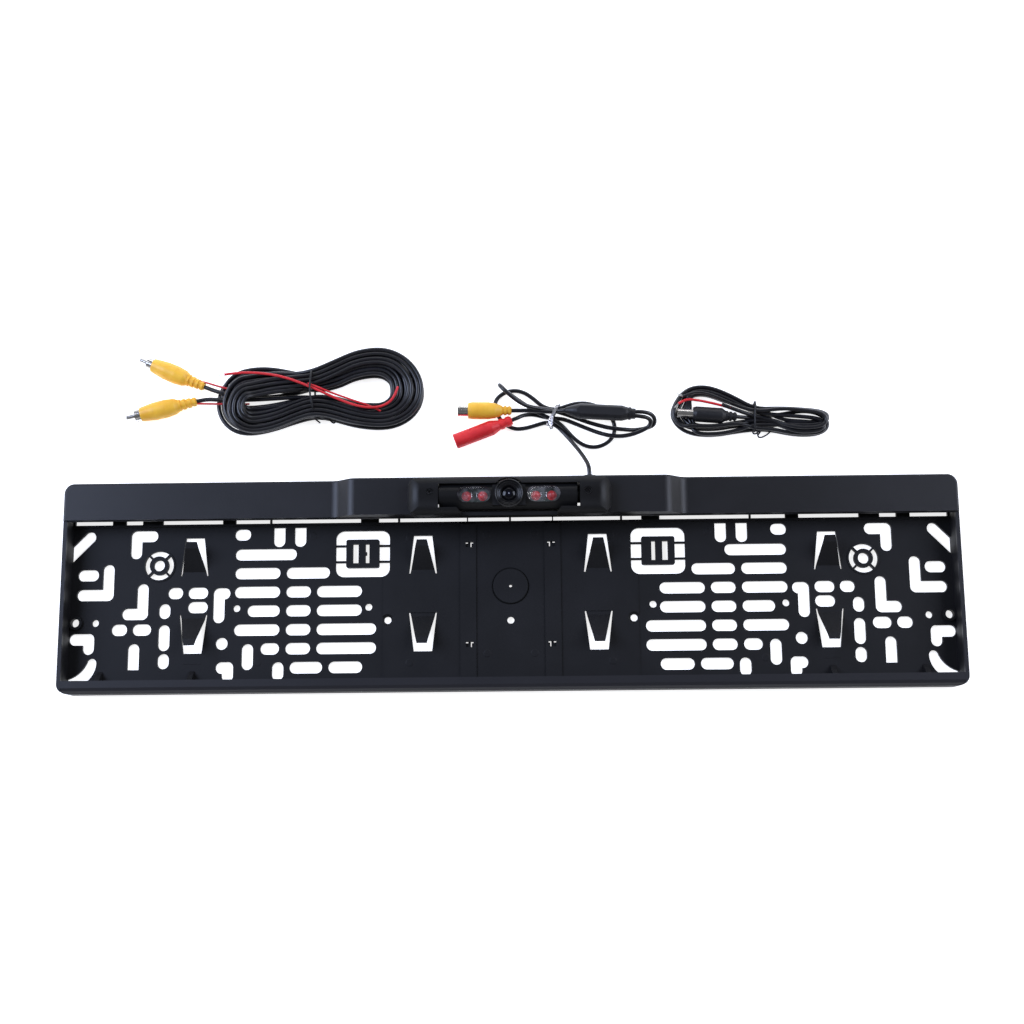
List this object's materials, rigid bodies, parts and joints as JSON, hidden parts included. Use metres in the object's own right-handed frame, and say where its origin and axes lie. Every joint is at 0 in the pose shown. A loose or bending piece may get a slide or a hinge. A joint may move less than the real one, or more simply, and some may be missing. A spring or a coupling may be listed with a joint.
{
  "type": "licence plate holder with backup camera",
  "caption": "Licence plate holder with a tilting infrared backup camera in its top band, a pigtail with video and power sockets, and loose video and power cables.",
  "frame": {"origin": "middle of the holder's outline, on its back face", "axes": "+X along the holder, +Y from its bottom lip to its top band, +Z from its back face to its front"},
  "size_m": [0.53, 0.2098, 0.0377],
  "materials": {
    "holder_plastic": "moulded black plastic, fine satin grain",
    "housing_plastic": "moulded black plastic, satin",
    "bezel_plastic": "moulded black plastic, glossy",
    "lens_metal": "black anodised",
    "lens_glass": "coated optical glass",
    "window_plastic": "clear moulded plastic",
    "screw_steel": "blackened steel",
    "soft_rubber": "soft black rubber",
    "board": "green solder mask",
    "sensor_chip": "black chip with a glass cover",
    "led_red": "clear red epoxy",
    "cable_jacket": "soft black jacket, slight gloss",
    "red_wire": "red insulation",
    "module_plastic": "moulded black plastic",
    "yellow_plastic": "soft moulded yellow plastic",
    "red_plastic": "soft moulded red plastic",
    "core_plastic": "white insulator",
    "connector_metal": "nickel plated",
    "tie_foil": "silver twist tie",
    "tie_plastic": "black twist tie"
  },
  "bodies": {
    "root": {"breakoff_clip_left": "holder_plastic", "breakoff_clip_right": "holder_plastic", "cable_grommet": "soft_rubber", "camera_housing": "housing_plastic", "dc_plug_barrel": "connector_metal", "dc_plug_body": "module_plastic", "dc_socket_body": "red_plastic", "dc_socket_pin": "connector_metal", "housing_base": "housing_plastic", "housing_screws": "screw_steel", "inner_lead": "cable_jacket", "pigtail_hank": "cable_jacket", "pigtail_tie": "tie_foil", "pigtail_tube": "cable_jacket", "plate_holder": "holder_plastic", "power_hank": "cable_jacket", "power_lead_black": "cable_jacket", "power_lead_red": "red_wire", "power_tie": "tie_plastic", "rca_plug_lower_body": "yellow_plastic", "rca_plug_lower_pin": "connector_metal", "rca_plug_lower_shell": "connector_metal", "rca_plug_upper_body": "yellow_plastic", "rca_plug_upper_pin": "connector_metal", "rca_plug_upper_shell": "connector_metal", "rca_socket_body": "yellow_plastic", "rca_socket_core": "core_plastic", "rca_socket_ring": "connector_metal", "splitter_module": "module_plastic", "top_cover": "holder_plastic", "trigger_wire": "red_wire", "video_hank": "cable_jacket", "video_tail_lower": "cable_jacket", "video_tail_upper": "cable_jacket", "video_tie": "tie_plastic"},
    "camera_head": {"camera_barrel": "housing_plastic", "barrel_back": "housing_plastic", "barrel_screws": "screw_steel", "lens_bezel": "bezel_plastic", "lens_seal": "soft_rubber", "lens_housing": "lens_metal", "front_lens": "lens_glass", "rear_lens": "lens_glass", "lens_mount": "bezel_plastic", "ir_filter": "lens_glass", "sensor_board": "board", "image_sensor": "sensor_chip", "led_window_left": "window_plastic", "led_window_right": "window_plastic", "led_board_left": "board", "led_board_right": "board", "friction_ring_left": "soft_rubber", "friction_ring_right": "soft_rubber", "ir_led_1": "led_red", "ir_led_2": "led_red", "ir_led_3": "led_red", "ir_led_4": "led_red"}
  },
  "joints": [
    {"name": "barrel_tilt", "type": "hinge", "parent": "root", "child": "camera_head", "pos_m": [0, 0.0496, 0.0273], "axis": [1, 0, 0], "range_deg": [-5, 20]}
  ]
}
